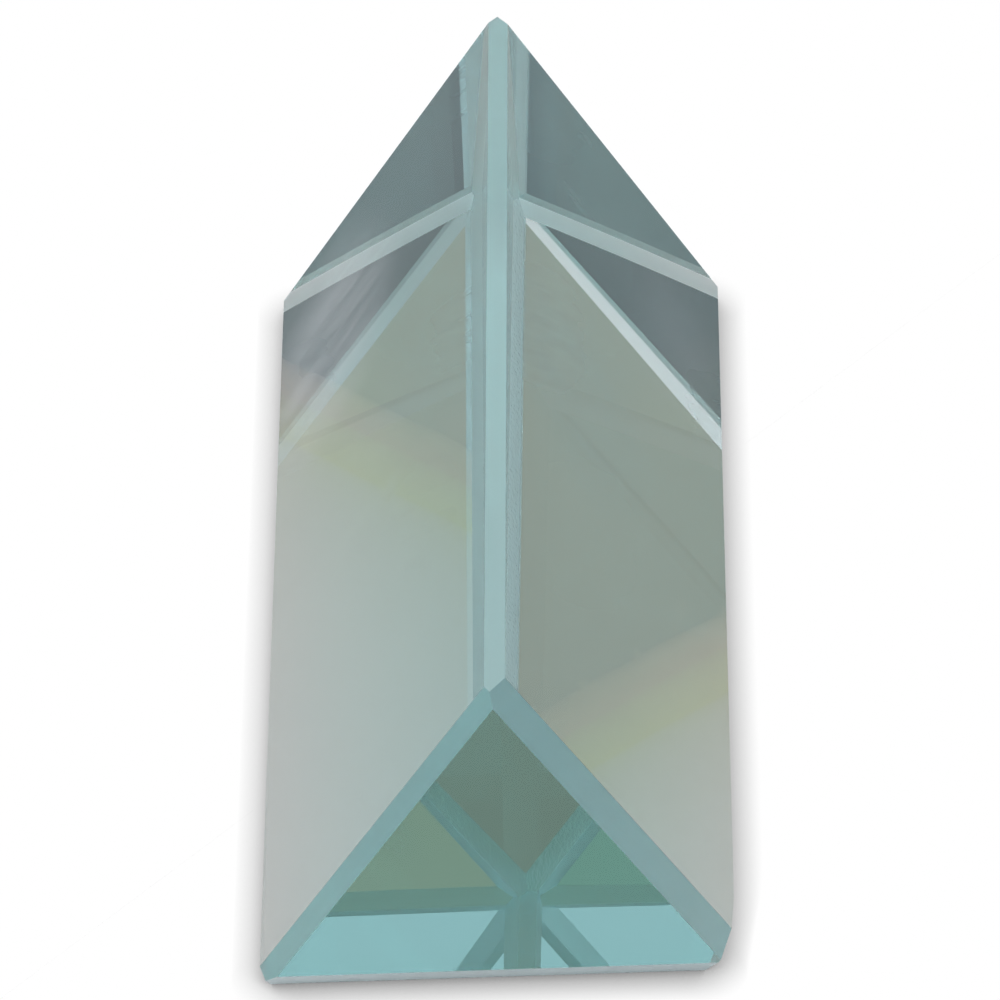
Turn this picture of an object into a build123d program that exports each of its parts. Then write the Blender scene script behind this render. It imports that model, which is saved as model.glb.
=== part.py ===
"""Equilateral prism: one solid block of clear glass with ground bevels on all its edges.

Its three long faces meet at 60 degrees, give or take half a degree of grinding error. The block lies on
one of them, with its ridge on top. X runs across it, Y along it from the near end to the far end, and Z
is up. The origin is on the resting face, midway between the sharp lines of its two feet and midway
between the ends.
"""
from build123d import *
from math import cos, radians, sin, tan
import os

# Driving dimensions, in millimetres and degrees
side = 25.0  # width of the base between the sharp lines of its two feet
left_angle = 59.5  # between the base and the left side
right_angle = 60.4  # between the base and the right side
length = 48.7  # between the end faces, along the middle of the block

# The end faces are ground a little out of square.
near_end_turn = 1.22  # near end turned about the vertical
far_end_turn = 0.71  # far end turned about the vertical
far_end_lean = 1.31  # far end leaning out towards its top

# Bevels on the long edges: reach of each on the two faces it joins
ridge_on_left = 0.81
ridge_on_right = 1.18
left_foot_on_left = 1.2
left_foot_on_base = 1.13
right_foot_on_right = 1.75
right_foot_on_base = 1.17

# Bevels around the near end: reach on the end face, then on the long face
near_left_on_end = 0.76
near_left_on_left = 0.74
near_right_on_end = 0.75
near_right_on_right = 1.58
near_foot_on_end = 1.06
near_foot_on_base = 0.44

# Bevels around the far end: reach on the end face, then on the long face
far_left_on_end = 0.72
far_left_on_left = 0.95
far_left_taper = 0.8  # degrees by which this one widens towards the ridge
far_right_on_end = 0.97
far_right_on_right = 1.04
far_foot_on_end = 0.57
far_foot_on_base = 0.95

# Chip off the near corner of the right foot: reach along each of the three edges that meet there
chip_along = 16.5
chip_across = 2.4
chip_up = 2.27

# Values that follow from the driving dimensions
half_side = side / 2
half_length = length / 2
up_left = Vector(cos(radians(left_angle)), 0, sin(radians(left_angle)))
up_right = Vector(-cos(radians(right_angle)), 0, sin(radians(right_angle)))
left_reach = side * up_right.Z / sin(radians(left_angle + right_angle))
ridge_point = Vector(-half_side, 0, 0) + up_left * left_reach
centre = Vector(0, 0, ridge_point.Z / 3)

# The five polished faces, each with its normal pointing out of the glass
base = Plane(origin=(0, 0, 0), z_dir=(0, 0, -1))
left_side = Plane(origin=(-half_side, 0, 0), z_dir=(-up_left.Z, 0, up_left.X))
right_side = Plane(origin=(half_side, 0, 0), z_dir=(up_right.Z, 0, -up_right.X))
near_end = Plane(
    origin=centre - Vector(0, half_length, 0),
    z_dir=Vector(0, -1, 0).rotate(Axis.Z, near_end_turn),
)
far_end = Plane(
    origin=centre + Vector(0, half_length, 0),
    z_dir=Vector(0, 1, 0).rotate(Axis.X, -far_end_lean).rotate(Axis.Z, far_end_turn),
)


def bevel(first, second, on_first, on_second, taper=0.0):
    """Plane that takes off the edge of two faces, cutting back each face by its own reach at mid-edge.

    With a taper, in degrees, the bevel widens towards the upper end of the edge.
    """
    edge = first.intersect(second)
    middle = edge.position + edge.direction * edge.direction.dot(centre - edge.position)
    cosine = first.z_dir.dot(second.z_dir)
    into_first = (first.z_dir * cosine - second.z_dir).normalized()
    into_second = (second.z_dir * cosine - first.z_dir).normalized()
    start = middle + into_first * on_first
    end = middle + into_second * on_second
    normal = (end - start).cross(edge.direction).normalized()
    outward = normal if normal.dot(first.z_dir + second.z_dir) > 0 else normal * -1
    upward = edge.direction if edge.direction.Z > 0 else edge.direction * -1
    return Plane(origin=start, z_dir=outward + upward * tan(radians(taper)))


bevels = [
    bevel(left_side, right_side, ridge_on_left, ridge_on_right),
    bevel(left_side, base, left_foot_on_left, left_foot_on_base),
    bevel(right_side, base, right_foot_on_right, right_foot_on_base),
    bevel(near_end, left_side, near_left_on_end, near_left_on_left),
    bevel(near_end, right_side, near_right_on_end, near_right_on_right),
    bevel(near_end, base, near_foot_on_end, near_foot_on_base),
    bevel(far_end, left_side, far_left_on_end, far_left_on_left, far_left_taper),
    bevel(far_end, right_side, far_right_on_end, far_right_on_right),
    bevel(far_end, base, far_foot_on_end, far_foot_on_base),
]

# The chip is one flat break across the sharp corner of the near end, the right side and the base.
corner = near_end.intersect(Axis((half_side, 0, 0), (0, 1, 0)))
chip_far_point = corner + Vector(0, chip_along, 0)
chip_low_point = corner - Vector(chip_across, 0, 0)
chip_high_point = corner + up_right * chip_up
chip = Plane(
    origin=chip_low_point,
    z_dir=(chip_far_point - chip_low_point).cross(chip_high_point - chip_low_point),
)

with BuildPart() as prism:
    with BuildSketch(Plane.XZ):
        with BuildLine():
            Polyline((-half_side, 0), (half_side, 0), (ridge_point.X, ridge_point.Z), close=True)
        make_face()
    extrude(amount=length, both=True)
    for cut in (near_end, far_end, *bevels, chip):
        split(bisect_by=cut, keep=Keep.BOTTOM)

prism.part.label = "prism"
os.makedirs("parts", exist_ok=True)
export_step(prism.part, "parts/prism.step")
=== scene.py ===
import math

import bpy
import numpy as np
from mathutils import Matrix, Vector

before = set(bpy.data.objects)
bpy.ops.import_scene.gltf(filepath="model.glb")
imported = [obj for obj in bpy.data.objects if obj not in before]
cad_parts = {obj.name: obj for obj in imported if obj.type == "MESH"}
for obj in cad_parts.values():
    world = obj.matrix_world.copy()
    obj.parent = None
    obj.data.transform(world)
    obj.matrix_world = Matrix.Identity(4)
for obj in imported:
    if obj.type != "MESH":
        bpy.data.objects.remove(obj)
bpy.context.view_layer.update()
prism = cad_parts["prism"]

# The glass: a refractive index for red, green and blue, and what its body keeps of the light
BEND_RED, BEND_GREEN, BEND_BLUE = 1.5222, 1.5275, 1.5342
BODY_TONE = (0.25, 0.79, 0.80)  # colour of the body, as the light that it lets by
BODY_DENSITY = 24.0  # per metre
FRINGE_GREEN, FRINGE_BLUE = 0.2, 0.4  # how far each drains where red still passes and it is turned back

# The finish of its faces and bevels, in metres and as Blender's roughness
FACES = 5  # the polished ones, which are also the largest
FLAT = 4e-6  # a point this near to a face's plane is on that face
SAME_WAY = 0.9999  # triangles are of one face if the cosine between their normals is above this
SMEAR = 0.05  # roughness of the faint smears on the polish
GRIND = 0.55  # roughness of the ground bevels
GRIND_CLOUD = 0.1  # and what their cloudiest patches add to it
RELIEF = 7e-6  # height of the grain on the bevels
RIPPLE = 0.6  # height of the slow ripple on the polish, as a share of that
GRAINS, CLOUDS, RIPPLES, STREAKS = 5200.0, 260.0, 70.0, 700.0  # patches of each pattern to a metre

# Glass dust on the bevels, which scatters light at once, without letting it in, and painted light on the
# bevel along the foot of the near end
FROST = 0.27  # share of the light that it scatters
FROST_TONE = (0.57, 0.90, 0.90)
FROST_DULL = 0.94  # the duller patches, as a share of that
FROST_ROUGH = 0.8
FOOT_PAINTED_LIGHT = 0.7  # painted light: how much more the bevel along the foot of the near end scatters, standing in for the light of the bright sheet close in front of it
# painted light: the paler tone of that extra scatter on the foot bevel
FOOT_PAINTED_LIGHT_TONE = (0.92, 0.98, 0.98)
FOOT_WAY = (0.0, -0.9, -0.4)  # the way that it faces, nearly

# Whitish, streaky patches on the two long faces, in metres: middle, reach and share of light scattered
HAZE = dict(
    left_face=((-0.0090, 0.0152, 0.0060), 0.0090, 0.26),
    right_face=((0.0098, 0.0148, 0.0050), 0.0080, 0.09),
)
HAZE_TONE = (0.88, 0.92, 0.92)
HAZE_STRETCH = (0.2, 1.0, 0.2)  # runs its streaks down the slope of the faces
HAZE_CORE = 0.2  # the even middle of each, as a share of its reach
HAZE_STREAK = 0.6  # how far the streaks thin it

# The floor, in metres
SHEET = 0.50  # how pale the sheet is where it is lit as a matt surface
SHOWN = 0.375  # share of plain white in what the glass shows of it
CREEP = 0.0018  # reach of the painted shade round the block
FLOOR_HALF = 3.0
FLOOR_GAP = 0.00003

# The camera: angles in degrees, then metres, then the lens and its film in millimetres
AZIMUTH, ELEVATION, ROLL = 1.914, 45.82, -2.384
DISTANCE = 0.35888
SLIDE, LIFT = 0.00011, -0.006465
FOCAL, FILM = 248.64, 36.0

# The lights, as soft glows in the room: where each comes from, how tight it is, and its tone
LIGHTS = dict(
    overhead=((0.0, 0.0, 1.0), 40.0, (7.1, 7.9, 8.0)),
    over_left=((-0.33, 0.34, 0.88), 40.0, (0.6, 0.2, 0.1)),
    high_left=((-0.6, 0.0, 0.8), 25.0, (4.8, 4.1, 4.7)),
    left=((-0.95, 0.0, 0.3), 10.0, (1.3, 1.5, 1.6)),
    right=((0.95, 0.0, 0.3), 10.0, (1.3, 1.3, 1.7)),
    back=((0.0, 0.70, 0.71), 15.0, (0.27, 0.22, 0.18)),
    back_left=((-0.63, 0.65, 0.41), 12.0, (0.19, 0.25, 0.17)),
    back_right=((0.69, 0.65, 0.33), 12.0, (0.30, 0.24, 0.11)),
    low_back=((0.0, 0.98, 0.2), 12.0, (0.29, 0.35, 0.25)),
    front=((0.0, -0.76, 0.65), 10.0, (0.0, 0.03, 0.04)),
    front_low=((0.3, -0.95, 0.03), 40.0, (5.6, 6.7, 6.6)),
)


# Shader maths ---------------------------------------------------------------------------------------


class Term:
    """A shader value that adds, multiplies and compares like a number. Each operation is one Math node."""

    def __init__(self, nodes, socket):
        self.nodes = nodes
        self.socket = socket

    def math(self, operation, *others):
        return self.nodes.make("ShaderNodeMath", dict(operation=operation), self, *others)

    def __add__(self, other):
        return self.math("ADD", other)

    __radd__ = __add__

    def __sub__(self, other):
        return self.math("SUBTRACT", other)

    def __rsub__(self, other):
        return self * -1.0 + other

    def __mul__(self, other):
        return self.math("MULTIPLY", other)

    __rmul__ = __mul__

    def __truediv__(self, other):
        return self.math("DIVIDE", other)

    def __abs__(self):
        return self.math("ABSOLUTE")

    def __pow__(self, other):
        return self.math("POWER", other)

    def smaller(self, other):
        return self.math("MINIMUM", other)

    def larger(self, other):
        return self.math("MAXIMUM", other)

    def under(self, other):
        return self.math("LESS_THAN", other)

    def rise(self, low, high):
        """0 at low and beyond, 1 at high and beyond, and a smooth rise between them."""
        return self.nodes.make("ShaderNodeMapRange", dict(interpolation_type="SMOOTHSTEP"), self, low, high)

    def dot(self, vector):
        return self.nodes.make(
            "ShaderNodeVectorMath", dict(operation="DOT_PRODUCT"), self, vector, out="Value"
        )

    def blend(self, first, second):
        """The colour first where this value is 0, and second where it is 1."""
        return self.nodes.make(
            "ShaderNodeMix",
            dict(data_type="RGBA"),
            out="Result_Color",
            Factor_Float=self,
            A_Color=first,
            B_Color=second,
        )


class Nodes:
    """The node tree of one material or world."""

    def __init__(self, owner):
        owner.use_nodes = True
        self.tree = owner.node_tree
        self.tree.nodes.clear()

    def make(self, kind, settings=None, *values, out=None, **named):
        """Adds a node of a kind, sets its settings, then gives values to its inputs in order or by name.

        A value is a number, a tuple or another Term. Returns the output named out, or the first."""
        node = self.tree.nodes.new(kind)
        for name, setting in (settings or {}).items():
            setattr(node, name, setting)
        sockets = {s.identifier: s for s in node.inputs}
        sockets.update({s.name.replace(" ", "_"): s for s in node.inputs if s.enabled})
        pairs = list(zip([s for s in node.inputs if s.enabled], values))
        pairs += [(sockets[name], value) for name, value in named.items()]
        for socket, value in pairs:
            if isinstance(value, Term):
                self.tree.links.new(value.socket, socket)
            else:
                socket.default_value = value
        outputs = {s.identifier: s for s in node.outputs}
        outputs.update({s.name: s for s in node.outputs if s.enabled})
        if not node.outputs:
            return node
        return Term(self, outputs[out] if out else node.outputs[0])


def colour(red, green, blue):
    """A colour written as linear light."""
    return (red, green, blue, 1.0)


# The glass ------------------------------------------------------------------------------------------


def flat_faces(node):
    """The node's flat faces, the largest first, as (normal, distance) in metres, from its triangles."""
    mesh = node.data
    mesh.calc_loop_triangles()
    corners = np.empty(len(mesh.loop_triangles) * 3, np.int32)
    mesh.loop_triangles.foreach_get("vertices", corners)
    points = np.empty(len(mesh.vertices) * 3)
    mesh.vertices.foreach_get("co", points)
    a, b, c = points.reshape(-1, 3)[corners.reshape(-1, 3)].transpose(1, 0, 2)
    cross = np.cross(b - a, c - a)
    area = np.linalg.norm(cross, axis=1) / 2
    normal = cross / np.maximum(2 * area, 1e-12)[:, None]
    face_area = (normal @ normal.T > SAME_WAY) @ area
    faces = []
    for i in np.argsort(-face_area):
        if all(normal[i] @ n < SAME_WAY for n, _ in faces):
            faces.append((normal[i], float(normal[i] @ a[i])))
    return faces


def on_faces(place, faces):
    """1 on these faces and 0 elsewhere: how near a point is to the plane of one of them."""
    off = None
    for normal, distance in faces:
        gap = abs(place.dot(tuple(normal)) - distance)
        off = gap if off is None else off.smaller(gap)
    return off.under(FLAT)


def fringes(nodes):
    """White, but drained of green and blue where the glass passes red and turns those back.

    Each colour's share that passes is 1 less its Fresnel term. The square is for Principled's square root."""
    red, green, blue = (
        1.0 - nodes.make("ShaderNodeFresnel", None, IOR=bend) for bend in (BEND_RED, BEND_GREEN, BEND_BLUE)
    )
    most = red.larger(1e-4)
    keep_green = 1.0 - FRINGE_GREEN * (1.0 - green / most)
    keep_blue = 1.0 - FRINGE_BLUE * (1.0 - blue / most)
    return nodes.make("ShaderNodeCombineColor", None, 1.0, keep_green**2.0, keep_blue**2.0)


def haze(nodes, place):
    """The share of light that the whitish patches scatter: soft and round, thinned by fine streaks."""
    across = nodes.make("ShaderNodeVectorMath", dict(operation="MULTIPLY"), place, HAZE_STRETCH)
    streaks = nodes.make("ShaderNodeTexNoise", None, Vector=across, Scale=STREAKS, Detail=3.0)
    total = 0.0
    for middle, reach, share in HAZE.values():
        away = nodes.make("ShaderNodeVectorMath", dict(operation="DISTANCE"), place, middle, out="Value")
        total = away.rise(reach, reach * HAZE_CORE) * share + total
    return total * (streaks.rise(0.3, 0.7) * HAZE_STREAK + (1.0 - HAZE_STREAK))


def glass(node):
    """Clear glass with a blue-green body: polish on the faces, and a fine, dusty grind on the bevels, with
    painted light on the bevel along the foot.
    """
    mat = bpy.data.materials.new("glass")
    nodes = Nodes(mat)
    place = nodes.make("ShaderNodeTexCoord", out="Object")
    faces = flat_faces(node)
    polished = on_faces(place, faces[:FACES])
    ground = 1.0 - polished
    foot = on_faces(place, [max(faces, key=lambda face: face[0] @ FOOT_WAY)])

    grain = nodes.make("ShaderNodeTexNoise", None, Vector=place, Scale=GRAINS, Detail=3.0)
    cloud = nodes.make("ShaderNodeTexNoise", None, Vector=place, Scale=CLOUDS, Detail=3.0)
    ripple = nodes.make("ShaderNodeTexNoise", None, Vector=place, Scale=RIPPLES, Detail=1.0)
    smear = cloud.rise(0.5, 0.75) * SMEAR

    relief = nodes.make(
        "ShaderNodeBump",
        None,
        Strength=1.0,
        Distance=RELIEF,
        Height=grain * ground + ripple * RIPPLE * polished,
    )
    surface = nodes.make(
        "ShaderNodeBsdfPrincipled",
        None,
        Base_Color=polished.blend(colour(1, 1, 1), fringes(nodes)),
        Roughness=ground * (cloud * GRIND_CLOUD + GRIND) + polished * smear,
        IOR=BEND_RED,
        Transmission_Weight=1.0,
        Normal=relief,
    )
    dull = colour(*(FROST_DULL * part for part in FROST_TONE))
    dusty = cloud.blend(dull, colour(*FROST_TONE))
    frost_and_painted_light = nodes.make(
        "ShaderNodeBsdfPrincipled",
        None,
        # painted light: the bevel along the foot takes a paler tone than the other bevels
        Base_Color=polished.blend(foot.blend(dusty, colour(*FOOT_PAINTED_LIGHT_TONE)), colour(*HAZE_TONE)),
        Roughness=FROST_ROUGH,
        IOR=BEND_RED,
        Normal=relief,
    )
    # painted light: the bevel along the foot scatters more, as if lit by the bright sheet in front of it
    scattered = ground * (foot * FOOT_PAINTED_LIGHT + FROST) + polished * haze(nodes, place)
    surface = nodes.make("ShaderNodeMixShader", None, scattered, surface, frost_and_painted_light)
    body = nodes.make("ShaderNodeVolumeAbsorption", None, Color=colour(*BODY_TONE), Density=BODY_DENSITY)
    nodes.make("ShaderNodeOutputMaterial", None, Surface=surface, Volume=body)
    return mat


prism.data.materials.clear()
prism.data.materials.append(glass(prism))


# Floor, light and camera ----------------------------------------------------------------------------


def flat_floor():
    """A level square: x and y run from -FLOOR_HALF to FLOOR_HALF, and z is -FLOOR_GAP everywhere."""
    x, y = np.meshgrid([-FLOOR_HALF, FLOOR_HALF], [-FLOOR_HALF, FLOOR_HALF])
    points = np.stack([x, y, np.full_like(x, -FLOOR_GAP)], -1).reshape(-1, 3)
    mesh = bpy.data.meshes.new("floor")
    mesh.from_pydata(points.tolist(), [], [(0, 1, 3, 2)])
    floor = bpy.data.objects.new("floor", mesh)
    bpy.context.scene.collection.objects.link(floor)
    return floor


def white_sheet():
    """A pale matt sheet. The camera sees it as white but for a painted soft shade close round the block, made
    by ambient occlusion rather than by the lights.

    What the glass reflects and passes is part plain white and part the lit sheet with its shadows."""
    mat = bpy.data.materials.new("white_sheet")
    nodes = Nodes(mat)
    matt = nodes.make("ShaderNodeBsdfDiffuse", None, Color=colour(SHEET, SHEET, SHEET))
    # painted shade: ambient occlusion darkens the white that the camera sees close round the block
    shade = nodes.make("ShaderNodeAmbientOcclusion", dict(samples=8), Distance=CREEP)
    camera, gloss, through = (
        nodes.make("ShaderNodeLightPath", out=ray)
        for ray in ("Is Camera Ray", "Is Glossy Ray", "Is Transmission Ray")
    )
    white = nodes.make("ShaderNodeEmission", None, Color=camera.blend(colour(1, 1, 1), shade), Strength=1.0)
    seen = camera.larger(gloss.larger(through) * SHOWN)
    surface = nodes.make("ShaderNodeMixShader", None, seen, matt, white)
    nodes.make("ShaderNodeOutputMaterial", None, Surface=surface)
    return mat


def studio():
    """A dark room with soft glows: each is its tone times e to the power of tightness x (cosine - 1)."""
    world = bpy.data.worlds.new("studio")
    bpy.context.scene.world = world
    nodes = Nodes(world)
    way = nodes.make("ShaderNodeTexCoord", out="Generated")
    light = (0.0, 0.0, 0.0)
    for aim, tight, tone in LIGHTS.values():
        glow = ((way.dot(tuple(Vector(aim).normalized())) - 1.0) * tight).math("EXPONENT")
        part = nodes.make("ShaderNodeVectorMath", dict(operation="SCALE"), Vector=tone, Scale=glow)
        light = nodes.make("ShaderNodeVectorMath", dict(operation="ADD"), light, part)
    sky = nodes.make("ShaderNodeBackground", None, Color=light, Strength=1.0)
    nodes.make("ShaderNodeOutputWorld", None, Surface=sky)


def lens():
    """The camera: turned by azimuth, elevation and roll about the base's middle, then slid and lifted."""
    azimuth, elevation, roll = (math.radians(angle) for angle in (AZIMUTH, ELEVATION, ROLL))
    out = math.cos(elevation)
    back = Vector((math.sin(azimuth) * out, -math.cos(azimuth) * out, math.sin(elevation)))
    level = Vector((math.cos(azimuth), math.sin(azimuth), 0.0))
    upright = back.cross(level)
    right = level * math.cos(roll) + upright * math.sin(roll)
    up = upright * math.cos(roll) - level * math.sin(roll)
    place = back * DISTANCE - right * SLIDE - up * LIFT
    data = bpy.data.cameras.new("camera")
    data.sensor_width = FILM
    data.lens = FOCAL
    data.clip_start = 0.01
    camera = bpy.data.objects.new("camera", data)
    camera.matrix_world = Matrix.Translation(place) @ Matrix((right, up, back)).transposed().to_4x4()
    bpy.context.scene.collection.objects.link(camera)
    bpy.context.scene.camera = camera


floor = flat_floor()
floor.data.materials.append(white_sheet())
studio()
lens()
bpy.context.scene.cycles.glossy_bounces = 12  # light is turned back inside the block many times
bpy.context.scene.view_settings.view_transform = "Standard"
